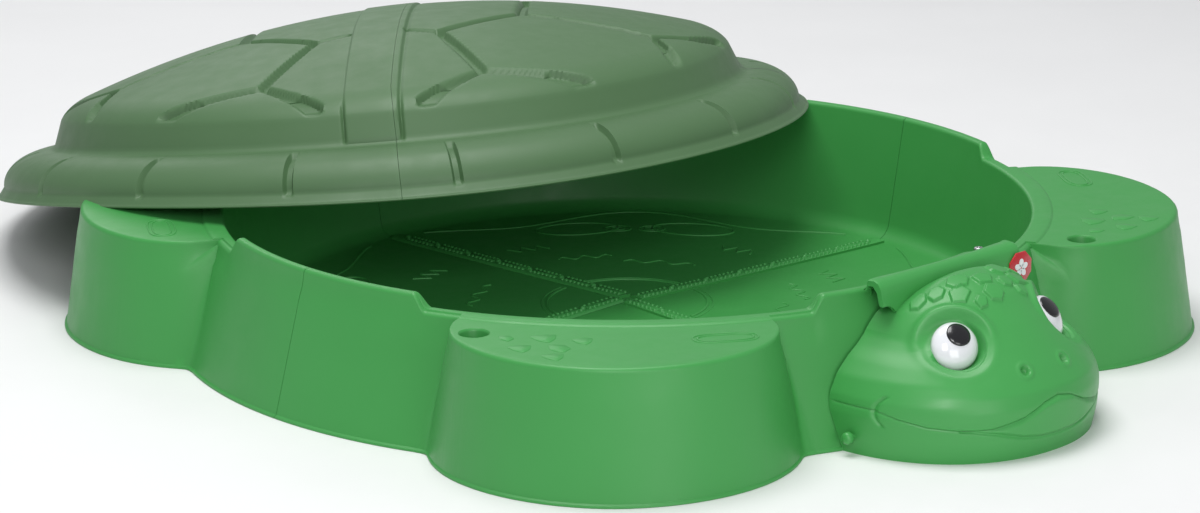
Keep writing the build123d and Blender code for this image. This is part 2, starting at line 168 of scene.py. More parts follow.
class Builder:
    """Collects several small closed shapes into one mesh."""

    def __init__(self):
        self.points = []
        self.faces = []

    def add(self, points, faces):
        start = len(self.points)
        self.points.extend([tuple(p) for p in points])
        self.faces.extend([tuple(start + i for i in face) for face in faces])

    def tube(self, path, radius, closed=True, sides=8, flat=1.0):
        """A bead along a path on a level surface, half sunk into it."""
        path = np.asarray(path, float)
        count = len(path)
        ahead = np.roll(path, -1, 0) - path
        behind = path - np.roll(path, 1, 0)
        if not closed:
            ahead[-1] = behind[-1]
            behind[0] = ahead[0]
        run = ahead + behind
        run[:, 2] = 0
        run /= np.linalg.norm(run, axis=1)[:, None]
        side = np.stack([-run[:, 1], run[:, 0], 0 * run[:, 0]], 1)
        rings = []
        for k in range(sides):
            turn = 2 * pi * k / sides
            rings.append(path + side * radius * cos(turn)
                         + np.array([0, 0, 1.0]) * radius * flat * sin(turn))
        points = np.array(rings).reshape(-1, 3)
        faces = []
        for k in range(sides):
            n = (k + 1) % sides
            for i in range(count if closed else count - 1):
                j = (i + 1) % count
                faces.append((k * count + i, k * count + j, n * count + j, n * count + i))
        if not closed:
            faces.append([k * count for k in range(sides)])
            faces.append([k * count + count - 1 for k in range(sides)][::-1])
        self.add(points, faces)

    def dome(self, centre, radius, height, sides=8, rings=2):
        """A low round boss standing on a level surface."""
        points = [(centre[0], centre[1], centre[2] + height)]
        for r in range(1, rings + 1):
            t = r / rings * pi / 2
            for c, n in round_steps(sides):
                points.append((centre[0] + radius * sin(t) * c, centre[1] + radius * sin(t) * n,
                               centre[2] + height * cos(t) - (0.4 if r == rings else 0)))
        faces = [(0, 1 + k, 1 + (k + 1) % sides) for k in range(sides)]
        for r in range(rings - 1):
            a, b = 1 + r * sides, 1 + (r + 1) * sides
            faces += [(a + k, b + k, b + (k + 1) % sides, a + (k + 1) % sides)
                      for k in range(sides)]
        faces.append([1 + (rings - 1) * sides + k for k in range(sides)][::-1])
        self.add(points, faces)

    def plate(self, outline, base_z, height, bevel):
        """A raised flat plate with a sloped border, from an outline of (x, y) points."""
        outline = np.asarray(outline, float)
        middle = outline.mean(0)
        inner = outline + (middle - outline) * bevel / np.linalg.norm(
            middle - outline, axis=1)[:, None]
        count = len(outline)
        levels = [(outline, base_z - 0.5), (outline, base_z + height * 0.3), (inner, base_z + height)]
        points = [(x, y, z) for ring, z in levels for x, y in ring]
        self.add(points, grid_faces(3, count, wrap=True) + end_caps(3, count))


# ---- materials ----
def plastic(name, colour, dark, roughness, grain=900.0, bump=0.12, edge_highlight=0.10, gloss=0.0):
    """Moulded plastic: slow colour drift, fine grain, uneven gloss and sharp edges painted paler as a
    painted highlight.
    """
    material = bpy.data.materials.new(name)
    material.use_nodes = True
    nodes, links = material.node_tree.nodes, material.node_tree.links
    shader = nodes["Principled BSDF"]
    place = nodes.new("ShaderNodeTexCoord")

    def noise(scale, detail, rough=0.5):
        node = nodes.new("ShaderNodeTexNoise")
        node.inputs["Scale"].default_value = scale
        node.inputs["Detail"].default_value = detail
        node.inputs["Roughness"].default_value = rough
        links.new(place.outputs["Object"], node.inputs["Vector"])
        return node

    def mix(factor_socket, first, second):
        node = nodes.new("ShaderNodeMix")
        node.data_type = "RGBA"
        links.new(factor_socket, node.inputs["Factor"])
        for socket, value in ((6, first), (7, second)):
            if isinstance(value, tuple):
                node.inputs[socket].default_value = (*value, 1)
            else:
                links.new(value, node.inputs[socket])
        return node.outputs[2]

    def ramp(source, low, high, low_value, high_value):
        node = nodes.new("ShaderNodeMapRange")
        node.inputs["From Min"].default_value = low
        node.inputs["From Max"].default_value = high
        node.inputs["To Min"].default_value = low_value
        node.inputs["To Max"].default_value = high_value
        links.new(source, node.inputs["Value"])
        return node.outputs["Result"]

    drift = noise(4.0, 3.0)
    colour_now = mix(ramp(drift.outputs["Fac"], 0.3, 0.7, 0.0, 1.0), dark, colour)
    geometry = nodes.new("ShaderNodeNewGeometry")
    # painted highlight: sharp outer edges are lightened towards a paler colour, standing in for the
    # gloss light along them
    edge = ramp(geometry.outputs["Pointiness"], 0.515, 0.60, 0.0, edge_highlight)
    pale = tuple(min(1.0, c * 1.5 + 0.06) for c in colour)
    links.new(mix(edge, colour_now, pale), shader.inputs["Base Color"])
    patches = noise(35.0, 4.0, 0.6)
    links.new(ramp(patches.outputs["Fac"], 0.3, 0.7, roughness - 0.05, roughness + 0.06),
              shader.inputs["Roughness"])
    fine = noise(grain, 3.0, 0.6)
    bumper = nodes.new("ShaderNodeBump")
    bumper.inputs["Strength"].default_value = bump
    bumper.inputs["Distance"].default_value = 0.0004
    links.new(fine.outputs["Fac"], bumper.inputs["Height"])
    links.new(bumper.outputs["Normal"], shader.inputs["Normal"])
    shader.inputs["Specular IOR Level"].default_value = 0.45
    shader.inputs["Coat Weight"].default_value = gloss
    shader.inputs["Coat Roughness"].default_value = 0.08
    return material


GREEN = plastic("green_basin", (0.052, 0.315, 0.070), (0.046, 0.290, 0.062), 0.42)
HEAD_GREEN = plastic("green_head", (0.058, 0.335, 0.078), (0.051, 0.308, 0.069), 0.38)
SAGE = plastic("sage_cover", (0.080, 0.168, 0.072), (0.072, 0.153, 0.064), 0.50, bump=0.2)
WHITE = plastic("eye_white", (0.80, 0.81, 0.84), (0.76, 0.77, 0.80), 0.16, bump=0.02, gloss=0.8)
BLACK = plastic("eye_black", (0.010, 0.010, 0.012), (0.006, 0.006, 0.008), 0.22, bump=0.05,
                gloss=0.5)
RED = plastic("badge_red", (0.52, 0.012, 0.020), (0.46, 0.010, 0.016), 0.25, bump=0.03, gloss=0.5)
STEEL = plastic("screw_steel", (0.45, 0.46, 0.47), (0.38, 0.39, 0.40), 0.34, bump=0.1)
STEEL.node_tree.nodes["Principled BSDF"].inputs["Metallic"].default_value = 1.0


# ---- basin quarter ----
def seat_far(angle, shape):
    """Distance from the origin to a seat outline's far side along each angle, or 0 beside it."""
    distance, depth, width = shape
    off = np.radians(angle - 45.0)
    reach = np.linspace(300.0, 700.0, 1601)
    u = reach[None, :] * np.cos(off)[:, None] - distance
    v = reach[None, :] * np.sin(off)[:, None]
    inside = (np.abs(u) / depth) ** SEAT_ROUNDNESS + (np.abs(v) / width) ** SEAT_ROUNDNESS
    return np.where(inside < 1, reach[None, :], 0).max(1)


def smooth_max(a, b, soft):
    """The larger of two values, with a rounded hand-over between them."""
    return 0.5 * (a + b + np.sqrt((a - b) ** 2 + soft ** 2))


def floor_height(x, y):
    """Height of the sand floor, a little higher in the middle."""
    reach = np.hypot(x, y)
    return FLOOR_Z + FLOOR_RISE * np.clip(1 - reach / FLOOR_RISE_R, 0, 1) ** 1.15


def rim_height(angle):
    """Rim height along a quarter: high beside both seams, low beside the seat."""
    rise_near = 1 - smooth_step(angle, *STEP_NEAR)
    rise_far = 1 - smooth_step(90 - angle, *STEP_FAR)
    return LOW_RIM_Z + (RIM_Z - LOW_RIM_Z) * np.maximum(rise_near, rise_far)


def quarter_angles():
    """Angles of the grid's columns, closer together at the seams, rim steps and seat ends."""
    spans = ((0, 0.05, 2), (0.05, 0.6, 6), (0.6, 17, 34), (17, 30, 90), (30, 60, 70),
             (60, 73, 90), (73, 89.4, 34), (89.4, 89.95, 6), (89.95, 90, 2))
    return np.concatenate([np.linspace(a, b, n, endpoint=False) for a, b, n in spans] + [[90.0]])


def wall_inner(z):
    """The basin wall's inside, as a distance from the centre at a height."""
    return FLOOR_R + (z - FLOOR_Z) * (RIM_INNER_R - FLOOR_R) / (RIM_Z - FLOOR_Z)


def wall_outer(z):
    """The basin wall's outside, as a distance from the centre at a height."""
    return BASE_R - z * (BASE_R - RIM_OUTER_R) / RIM_Z


def outer_reach(angle, z, soft=9.0):
    """The outer wall's distance at a height: the cone, or the seat where it stands further out."""
    part = z / SEAT_Z
    shape = [a + (b - a) * part for a, b in zip(SEAT_FOOT, SEAT_TOP)]
    cone = wall_outer(z) * np.ones_like(angle)
    return smooth_max(cone, seat_far(angle, shape), soft) - 1.2


def floor_rows(one):
    """The sand floor and the round at the foot of the wall."""
    foot = FLOOR_R - FLOOR_FILLET * 0.82
    rows = [(reach * one, floor_height(reach, 0.0) * one) for reach in np.linspace(3.0, foot, 24)]
    for t in np.linspace(0, radians(79), 9)[1:]:
        rows.append(((foot + FLOOR_FILLET * sin(t)) * one,
                     (FLOOR_Z + FLOOR_FILLET * (1 - cos(t))) * one))
    return rows


def inner_wall_rows(start, top):
    """Up the inside of the wall and over the inner half of its rounded edge."""
    rows = []
    for t in np.linspace(0, 1, 8)[1:]:
        z = start[1] + (top - RIM_EDGE_R - start[1]) * t
        rows.append((start[0] + (wall_inner(top - RIM_EDGE_R) - start[0]) * t, z))
    inner = wall_inner(top - RIM_EDGE_R)
    for t in np.linspace(0, pi / 2, 6)[1:]:
        rows.append((inner + RIM_EDGE_R * (1 - cos(t)), top - RIM_EDGE_R + RIM_EDGE_R * sin(t)))
    return rows


def top_rows(angle, crest, top, is_seat):
    """A flat ledge, a small groove and the seat's top; all fold together on the high rim."""
    rows = []
    high_edge = wall_outer(RIM_Z) - RIM_EDGE_R + 0.4
    seat_edge = outer_reach(angle, SEAT_Z) - SEAT_EDGE_R
    for share, drop in ((0.45, 0.0), (0.85, 0.0), (0.92, -0.6), (1.0, -1.8)):
        low_reach = crest + (np.minimum(LEDGE_R, seat_edge - 0.5) - crest) * share
        high_reach = crest + (high_edge - crest) * share * 0.5
        rows.append((high_reach + (low_reach - high_reach) * is_seat, top + drop * is_seat))
    begin = rows[-1][0]
    seat_level = top + (SEAT_Z - LOW_RIM_Z) * is_seat
    for t in np.linspace(0, 1, 15)[1:]:
        level = seat_level - 1.2 * is_seat * (1 - smooth_step(t, 0.0, 0.06))
        high_reach = begin + (high_edge - begin) * t
        low_reach = begin + (np.maximum(seat_edge, begin + 0.5) - begin) * t
        rows.append((high_reach + (low_reach - high_reach) * is_seat, level))
    return rows


def outer_wall_rows(angle, edge, is_seat):
    """Over the outer edge and down the outside of the wall or seat."""
    rows = []
    round_r = RIM_EDGE_R + (SEAT_EDGE_R - RIM_EDGE_R) * is_seat
    for t in np.linspace(0, pi / 2, 6)[1:]:
        rows.append((edge[0] + round_r * sin(t), edge[1] - round_r * (1 - cos(t))))
    begin_r, begin_z = rows[-1]
    for t in np.linspace(0, 1, 12)[1:]:
        z = begin_z + (SKIRT_Z - begin_z) * t
        target = np.array([outer_reach(np.array([a]), h)[0] for a, h in zip(angle, z)])
        blend = smooth_step(t, 0.0, 0.15)
        rows.append((begin_r + (target - begin_r) * blend if t < 0.15 else target, z))
    return rows


def foot_rows(skirt, one):
    """The turned-out foot at the ground and the underside."""
    rows = []
    for out, z in ((2.2, 2.6), (2.6, 0.6), (1.8, 0.0), (-3.0, 0.0), (-4.0, UNDERSIDE_Z)):
        rows.append((skirt + out, z * one))
    for reach in (300.0, 3.0):
        rows.append((reach * one, UNDERSIDE_Z * one))
    return rows


def quarter_rows(angle):
    """Rows of (reach, height) arrays from the floor's middle, over the rim, down to the ground."""
    one = np.ones_like(angle)
    top = rim_height(angle)
    is_seat = 1 - (top - LOW_RIM_Z) / (RIM_Z - LOW_RIM_Z)
    rows = floor_rows(one)
    rows += inner_wall_rows(rows[-1], top)
    rows += top_rows(angle, rows[-1][0], top, is_seat)
    rows += outer_wall_rows(angle, rows[-1], is_seat)
    return rows + foot_rows(rows[-1][0], one)


def quarter_mesh():
    """Points and faces of the quarter between the +X and +Y seams."""
    angle = quarter_angles()
    rows = quarter_rows(angle)
    reach = np.array([r for r, _ in rows])
    height = np.array([z for _, z in rows])
    turn = np.radians(angle)[None, :]
    x = reach * np.cos(turn)
    y = reach * np.sin(turn)
    x = np.maximum(x, SEAM_HALF_GAP)
    y = np.maximum(y, SEAM_HALF_GAP)
    points = np.stack([x, y, height], -1).reshape(-1, 3)
    columns = len(angle)
    faces = grid_faces(len(rows), columns)
    last = len(rows) - 1
    faces += [(j, last * columns + j, last * columns + j + 1, j + 1) for j in range(columns - 1)]
    faces.append([i * columns for i in range(len(rows))])
    faces.append([i * columns + columns - 1 for i in range(len(rows))][::-1])
    return points, faces


def circle_path(centre, radius_x, radius_y, z, turn=0.0, start=0.0, end=360.0, count=72):
    """Points round an oval, or along a part of it, at one height."""
    angle = np.radians(np.linspace(start, end, count, endpoint=(end - start) < 360))
    x, y = radius_x * np.cos(angle), radius_y * np.sin(angle)
    c, s = cos(radians(turn)), sin(radians(turn))
    return np.stack([centre[0] + x * c - y * s, centre[1] + x * s + y * c, z + 0 * x], 1)


def on_floor(points):
    """Lifts points given from the level floor on to the crowned floor."""
    points = np.array(points, float)
    points[:, 2] += floor_height(points[:, 0], points[:, 1])
    return points


def lip_strip(middle):
    """Points and faces of the plain strip under the lap lip's plates."""
    half = LIP_WIDTH / 2
    section = ((half + 3.0, -3.0), (half + 1.5, -0.6), (half - 1.0, 0.0),
               (1.0 - half, 0.0), (-half, -0.8), (-half, -4.2))
    stations = np.linspace(LIP_START, LIP_END, 24)
    points = [(x, middle + y, LIP_HEIGHT + z) for x in stations for y, z in section]
    rows, columns = len(stations), len(section)
    return points, grid_faces(rows, columns, wrap=True) + end_caps(rows, columns)


def lip_detail(shapes):
    """The lap lip along the +X seam with its row of bead-bordered plates."""
    middle = 1.0 - LIP_WIDTH / 2
    loose = Builder()
    loose.add(*lip_strip(middle))
    plate_length = PLATE_PITCH - 9.0
    for start in np.arange(LIP_START + 4.0, LIP_END - PLATE_PITCH, PLATE_PITCH):
        centre = start + plate_length / 2
        along = np.linspace(0, 2 * pi, 48, endpoint=False)
        px = centre + np.sign(np.cos(along)) * np.abs(np.cos(along)) ** 0.35 * plate_length / 2
        py = middle + np.sign(np.sin(along)) * np.abs(np.sin(along)) ** 0.5 * 4.4
        loose.plate(np.stack([px, py], 1), LIP_HEIGHT, 1.0, 1.4)
        for k in range(7):
            for side in (-1, 1):
                bead_x = start + 2.2 + (plate_length - 4.4) * k / 6
                loose.dome((bead_x, middle + side * 4.5, LIP_HEIGHT), 2.3, 2.6, sides=8)
        loose.dome((start + plate_length + 4.4, middle, LIP_HEIGHT), 3.4, 3.4, sides=12)
    shapes.add(on_floor(loose.points), loose.faces)


def floor_art(shapes):
    """Plain raised line work on the sand floor: rings, ovals, waves and zigzags."""
    loose = Builder()
    for radius, bead in ((87, 1.6), (93, 1.0)):
        loose.tube(circle_path((0, 0), radius, radius, 0, 0, 8, 80, 30), bead, closed=False)
    along = np.linspace(6, 84, 70)
    reach = 372 + 22 * np.cos(np.radians(along - 45) * 8)
    path = [(r * cos(radians(a)), r * sin(radians(a)), 0) for r, a in zip(reach, along)]
    loose.tube(np.array(path), 1.5, closed=False)
    for at in (33, 57):
        centre = (322 * cos(radians(at)), 322 * sin(radians(at)))
        loose.tube(circle_path(centre, 27, 48, 0, at), 1.4)
    for at in (41.5, 48.5):
        centre = (318 * cos(radians(at)), 318 * sin(radians(at)))
        loose.tube(circle_path(centre, 13, 15, 0, at, count=36), 1.1)
        loose.tube(circle_path(centre, 7, 8, 0, at, count=24), 0.9)
    for k, (low, high) in enumerate(((20, 48), (52, 70))):
        at = np.radians(np.linspace(low, high, 50))
        wave = 168 + 26 * k + 6.0 * np.sin(np.linspace(0, 5 * pi, 50))
        loose.tube(np.stack([wave * np.cos(at), wave * np.sin(at), 0 * at], 1), 1.2, closed=False)
    for low in (12, 68):
        zigzag = []
        for k in range(6):
            reach = 262 if k % 2 else 244
            at = radians(low + 10 * k / 5)
            zigzag.append((reach * cos(at), reach * sin(at), 0))
        loose.tube(np.array(zigzag), 1.2, closed=False)
    shapes.add(on_floor(loose.points), loose.faces)


def seat_pads(shapes):
    """Low scale-shaped pads beside the seat's hole."""
    pads = ((505, 33.3, 13, 5), (534, 35.6, 17, 6), (498, 37.4, 19, 6), (528, 39.6, 19, 5),
            (503, 41.8, 15, 6), (556, 39.4, 16, 6))       # distance, angle, size, corners
    for reach, at, size, corners in pads:
        centre = np.array([reach * cos(radians(at)), reach * sin(radians(at))])
        outline = []
        for k in range(corners):
            a = 2 * pi * k / corners + 0.7 * corners
            stretch = 1.15 if k % 2 else 0.8
            outline.append(centre + size * stretch * 0.72 * np.array([cos(a), sin(a)]))
        outline = np.array(outline)
        dense = np.concatenate([[p + (q - p) * t for t in (0.12, 0.5, 0.88)]
                                for p, q in zip(outline, np.roll(outline, -1, 0))])
        shapes.plate(dense, SEAT_Z, 0.8, 1.1)


def seat_ring(shapes):
    """A plain long double ring at the other end of the seat from its hole."""
    c, n = cos(radians(SEAT_RING_TURN)), sin(radians(SEAT_RING_TURN))
    centre = (SEAT_RING_REACH * c, SEAT_RING_REACH * n)
    for length, width in ((32.0, 14.0), (27.5, 9.5)):
        turn = np.linspace(0, 2 * pi, 72, endpoint=False)
        x = np.sign(np.cos(turn)) * np.abs(np.cos(turn)) ** 0.8 * width
        y = np.sign(np.sin(turn)) * np.abs(np.sin(turn)) ** 0.55 * length
        path = np.stack([centre[0] + x * c - y * n, centre[1] + x * n + y * c, SEAT_Z + 0 * x], 1)
        shapes.tube(path, 1.0, flat=0.9)


def cut_hole(thing, centre, radius, depth):
    """Sinks a round blind hole with a softened mouth into an object."""
    rings = ((radius + 2.5, 3.0), (radius + 2.2, 0.3), (radius + 0.8, -1.0), (radius, -2.6),
             (radius - 0.5, -depth))
    sides = 40
    points = [(centre[0] + r * c, centre[1] + r * n, centre[2] + z)
              for r, z in rings for c, n in round_steps(sides)]
    faces = grid_faces(len(rings), sides, wrap=True)
    faces.append(list(range(sides)))
    faces.append([(len(rings) - 1) * sides + k for k in range(sides)][::-1])
    cutter = make_object("cutter", points, faces, GREEN)
    change = thing.modifiers.new("hole", "BOOLEAN")
    change.object = cutter
    change.operation = "DIFFERENCE"
    change.solver = "EXACT"
    apply_modifiers(thing)
    bpy.data.objects.remove(cutter)


def apply_modifiers(thing):
    """Replaces an object's mesh by the one its modifiers make."""
    graph = bpy.context.evaluated_depsgraph_get()
    done = bpy.data.meshes.new_from_object(thing.evaluated_get(graph))
    thing.modifiers.clear()
    thing.data = done


def join(target, shapes, material):
    """Adds loose detail shapes to an object's mesh."""
    extra = make_object("detail", shapes.points, shapes.faces, material, 50)
    work = bmesh.new()
    work.from_mesh(target.data)
    work.from_mesh(extra.data)
    work.to_mesh(target.data)
    work.free()
    bpy.data.objects.remove(extra)


def first_quarter():
    """The rear right quarter, from the +X seam to the +Y seam, with all its detail."""
    points, faces = quarter_mesh()
    thing = make_object("basin_rear_right", points, faces, GREEN, 32)
    hole = (HOLE_REACH * cos(radians(HOLE_TURN)), HOLE_REACH * sin(radians(HOLE_TURN)), SEAT_Z)
    cut_hole(thing, hole, HOLE_R, HOLE_DEPTH)
    tidy_mesh(thing, 32)
    details = Builder()
    lip_detail(details)
    floor_art(details)
    seat_pads(details)
    seat_ring(details)
    join(thing, details, GREEN)
    return thing


def turned_quarter(first, name, turn):
    """A copy of the first quarter, turned about the basin's centre."""
    thing = bpy.data.objects.new(name, first.data.copy())
    bpy.context.scene.collection.objects.link(thing)
    middle = Matrix.Translation(Vector(BASIN_PLACE) * MM)
    spin = Matrix.Rotation(radians(turn), 4, "Z")
    thing.data.transform(middle @ spin @ middle.inverted())
    return thing


def build_basin():
    first = first_quarter()
    first.data.update()
    place_piece(first, "basin", "basin_quarter_rear_right")
    for place, turn in (("rear_left", 90), ("front_left", 180), ("front_right", 270)):
        thing = turned_quarter(first, "basin_" + place, turn)
        thing.data.update()
        place_piece(thing, "basin", "basin_quarter_" + place)


# ---- cover ----
COVER_CENTRE = np.array([51.2, 429.2, 97.0])
COVER_TOWARD = np.array([-0.6915, -0.7057, 0.1540])    # along the band, towards the head
COVER_ACROSS = np.array([0.7218, -0.6832, 0.1106])
COVER_UP = np.array([0.0271, 0.1877, 0.9819])
COVER_TWIST = -19.4                    # sag of the thin moulding, at a corner of its square
COVER_CUP = 4.8
BAND_LEFT, BAND_RIGHT = -27.0, 31.0
COVER_SEAM = 23.0
COVER_TOP = 169.0
CROWN_R = 356.7                        # where the smooth crown ends
CROWN_FALL = 66.4                      # how far the crown has dropped at the shoulder
SHOULDER_R = 362.7
GROOVE_DEPTH = 8.0
SHELL = 3.5
INNER_STEP = 4                         # the inner skin keeps one row in four
RIVET_REACHES = (-270.0, -90.0, 90.0, 270.0)
RIVET_SIDES = 24
NOTCH_PITCH = 22.5
NOTCH_DEPTH = 6.0
HEM_SAG = 4.0                          # droop of the edge over the basin, at the end of the band
HEM_SAG_SPREAD = 32.0
HEM_SAG_TURN = 6.0
SHOULDER_PULL = (378.5, 96.0)          # reach and height that the shoulder's curve is drawn to
WALL_TOP = (387.0, 82.0)
WALL_FOOT = (397.5, 54.5)
FLANGE_R = 406.0
FLANGE_WIDTH = 55.0
FLANGE_Z = 12.0
FLANGE_RISE = 37.3
# channels between the shell's scales: start, end (across the band, along it), half widths
GROOVES = (((33, 172), (69, 186), 3.5, 5.0), ((69, 186), (157, 93), 6.0, 6.0),
           ((157, 93), (187, 100), 6.0, 6.0), ((187, 100), (303, 134), 6.0, 5.0),
           ((69, 186), (120, 313), 5.5, 6.0), ((120, 313), (232, 308), 6.5, 9.0),
           ((120, 313), (60, 376), 5.0, 8.5), ((303, 134), (350, 100), 5.0, 6.0),
           ((350, 100), (378, 56), 6.0, 7.0), ((303, 134), (326, 198), 5.0, 8.0),
           ((157, 93), (157, 0), 5.5, 5.5))


def groove_depth(x, y):
    """0 on a scale, 1 on the floor of a channel, at points across and along the band."""
    inside = np.zeros_like(x)
    for a, b, first, last in GROOVES:
        dx, dy = b[0] - a[0], b[1] - a[1]
        t = np.clip(((np.abs(x) - a[0]) * dx + (np.abs(y) - a[1]) * dy) / (dx * dx + dy * dy), 0, 1)
        off = np.hypot(np.abs(x) - a[0] - t * dx, np.abs(y) - a[1] - t * dy)
        half = first + (last - first) * t
        inside = np.maximum(inside, 1 - smooth_step(off - half, -2.0, 1.6))
    return inside


def cover_profile():
    """(reach, height, kind) down the outside of the cover from the crown's end to the edge."""
    r0, z0 = CROWN_R, COVER_TOP - CROWN_FALL * (CROWN_R / SHOULDER_R) ** 2
    rows = []
    for t in np.linspace(0, 1, 15)[1:]:
        r = (1 - t) ** 2 * r0 + 2 * t * (1 - t) * SHOULDER_PULL[0] + t * t * WALL_TOP[0]
        z = (1 - t) ** 2 * z0 + 2 * t * (1 - t) * SHOULDER_PULL[1] + t * t * WALL_TOP[1]
        rows.append((r, z, "shoulder"))
    for t in np.linspace(0, 1, 8)[1:]:
        rows.append((WALL_TOP[0] + (WALL_FOOT[0] - WALL_TOP[0]) * t,
                     WALL_TOP[1] + (WALL_FOOT[1] - WALL_TOP[1]) * t, "wall"))
    for t in np.linspace(0, 1, 6)[1:]:
        rows.append((WALL_FOOT[0] + 8.5 * t, WALL_FOOT[1] - 5.2 * (1 - (1 - t) ** 2), "root"))
    for t in np.linspace(0, pi / 2, 24)[1:]:
        rows.append((FLANGE_R + FLANGE_WIDTH * sin(t), FLANGE_Z + FLANGE_RISE * cos(t), "flange"))
    for t in np.linspace(0, 1, 6)[1:]:
        rows.append((FLANGE_R + FLANGE_WIDTH + 7.0 * t, FLANGE_Z - 9.0 * t, "skirt"))
    rows += [(470.0, 2.6, "hem"), (470.8, 1.2, "hem"), (469.8, 0.0, "hem")]
    return rows


def band_relief(x, on_wall):
    """The band stands slightly proud; a groove runs down each of its edges."""
    inside = smooth_step(x, BAND_LEFT - 2.0, BAND_LEFT + 1.5) * (
        1 - smooth_step(x, BAND_RIGHT - 1.5, BAND_RIGHT + 1.0))
    relief = 1.8 * inside
    relief -= (1.4 + 1.6 * on_wall) * np.exp(-((x - BAND_RIGHT - 2.0) / 2.0) ** 2)
    relief -= 2.6 * on_wall * np.exp(-((x - BAND_LEFT + 2.5) / 1.8) ** 2)
    return relief


def ring_relief(reach, height, kind, x, angle):
    """How far a ring of the cover's side is pushed out, at each angle from the band."""
    y = reach * np.cos(angle)
    relief = np.zeros_like(x)
    if kind == "shoulder":
        fade = 1 - smooth_step(reach, 379.0, 386.5)
        relief -= GROOVE_DEPTH * groove_depth(x, y) * fade
        relief += band_relief(x, smooth_step(reach, 372.0, 384.0))
    if kind == "wall":
        relief += band_relief(x, 1.0)
    if kind in ("flange", "skirt"):
        step = np.degrees(angle) / NOTCH_PITCH - 0.5
        arc = np.abs(step - np.round(step)) * radians(NOTCH_PITCH) * reach
        along = smooth_step(reach, 416.0, 424.0) * smooth_step(
            height, 9.0, 14.0)
        relief -= NOTCH_DEPTH * (1 - smooth_step(arc, 3.2, 5.6)) * along
    return relief


def cover_lines():
    """Angles from the across axis of the lines the cover is drawn on, closer at every edge."""
    lines = list(np.arange(0, 180.01, 0.5))
    for k in range(8):
        lines += list(90 + NOTCH_PITCH * (k - 3.5) + np.linspace(-0.9, 0.9, 11))
    for x, spread in ((BAND_LEFT, 5.0), (BAND_RIGHT + 1.0, 5.0), (COVER_SEAM, 1.2)):
        for off in np.linspace(-spread, spread, 12):
            lines.append(np.degrees(np.arccos((x + off) / CROWN_R)))
    lines = np.array(sorted(lines))
    keep = np.concatenate([[True], np.diff(lines) > 0.04])
    return lines[keep]


def place_cover(x, y, z):
    """From the cover's own axes to the frame, with the slight twist of its thin moulding."""
    sag = COVER_TWIST * x * y / 470.0 ** 2 + COVER_CUP * x * x / 470.0 ** 2
    return (x[..., None] * COVER_ACROSS + y[..., None] * COVER_TOWARD
            + (z + sag)[..., None] * COVER_UP + COVER_CENTRE)


def clearance(kind):
    """How much deeper than the shell's thickness the inner skin runs, to clear the channels."""
    return {"shoulder": GROOVE_DEPTH, "flange": NOTCH_DEPTH}.get(kind, 1.0)


def side_rows(turn, side, outer):
    """Rows of one skin down the cover's side, on one side of its middle."""
    rows = cover_profile()
    outline = np.array([(r, z) for r, z, _ in rows])
    slope = np.gradient(outline, axis=0)
    slope /= np.linalg.norm(slope, axis=1)[:, None]
    placed = []
    for (r, z, kind), (sr, sz) in zip(rows, slope):
        nr, nz = -sz, sr
        x = r * np.cos(turn)
        angle = np.arctan2(x, side * r * np.sin(turn))
        if outer:
            push = ring_relief(r, z, kind, x, angle)
        else:
            push = np.full_like(x, -SHELL - clearance(kind))
        reach = r + nr * push
        height = np.maximum(z + nz * push, 0.0 if kind != "hem" else z)
        droop = np.exp(-((np.degrees(angle) - HEM_SAG_TURN) / HEM_SAG_SPREAD) ** 2)
        height = height - HEM_SAG * droop * smooth_step(reach, 440.0, 466.0)
        if kind == "hem" and not outer:
            reach, height = r - SHELL + 0 * x, z - HEM_SAG * droop
        placed.append((reach * np.cos(turn), side * reach * np.sin(turn), height))
    return placed


def crown_rows(turn, outer):
    """Rows of one skin across the cover's crown."""
    rows = []
    for t in np.linspace(-1, 1, 261):
        x = CROWN_R * np.cos(turn)
        y = CROWN_R * np.sin(turn) * t
        z = COVER_TOP - CROWN_FALL * (x * x + y * y) / SHOULDER_R ** 2
        if outer:
            z = z - GROOVE_DEPTH * groove_depth(x, y) + band_relief(x, 0.0)
        else:
            z = z - SHELL - GROOVE_DEPTH
        rows.append((x, y, z))
    return rows


def cover_layers(line, outer):
    """Points of one skin: each row crosses every line, from edge to edge over the crown."""
    turn = np.radians(line)
    layers = side_rows(turn, -1, outer)[::-1] + crown_rows(turn, outer) + side_rows(turn, 1, outer)
    return np.array([place_cover(x, y, z) for x, y, z in layers])


def build_cover():
    lines = cover_lines()
    seam_line = np.degrees(np.arccos(COVER_SEAM / CROWN_R))
    for word, chosen, gap in (("right", lines < seam_line - 0.01, 0.03),
                              ("left", lines > seam_line + 0.01, -0.03)):
        part = np.sort(np.concatenate([lines[chosen], [seam_line - gap]]))
        outer = cover_layers(part, True)
        last = len(outer) - 1
        picked = sorted(set(list(range(0, last, INNER_STEP)) + [last]))
        inner = cover_layers(part, False)[picked]
        points = np.concatenate([outer.reshape(-1, 3), inner.reshape(-1, 3)])
        half = make_object("cover_" + word, points, shell_faces(len(outer), picked, len(part)),
                           SAGE, 45)
        place_piece(half, "cover", "cover_half_" + word)


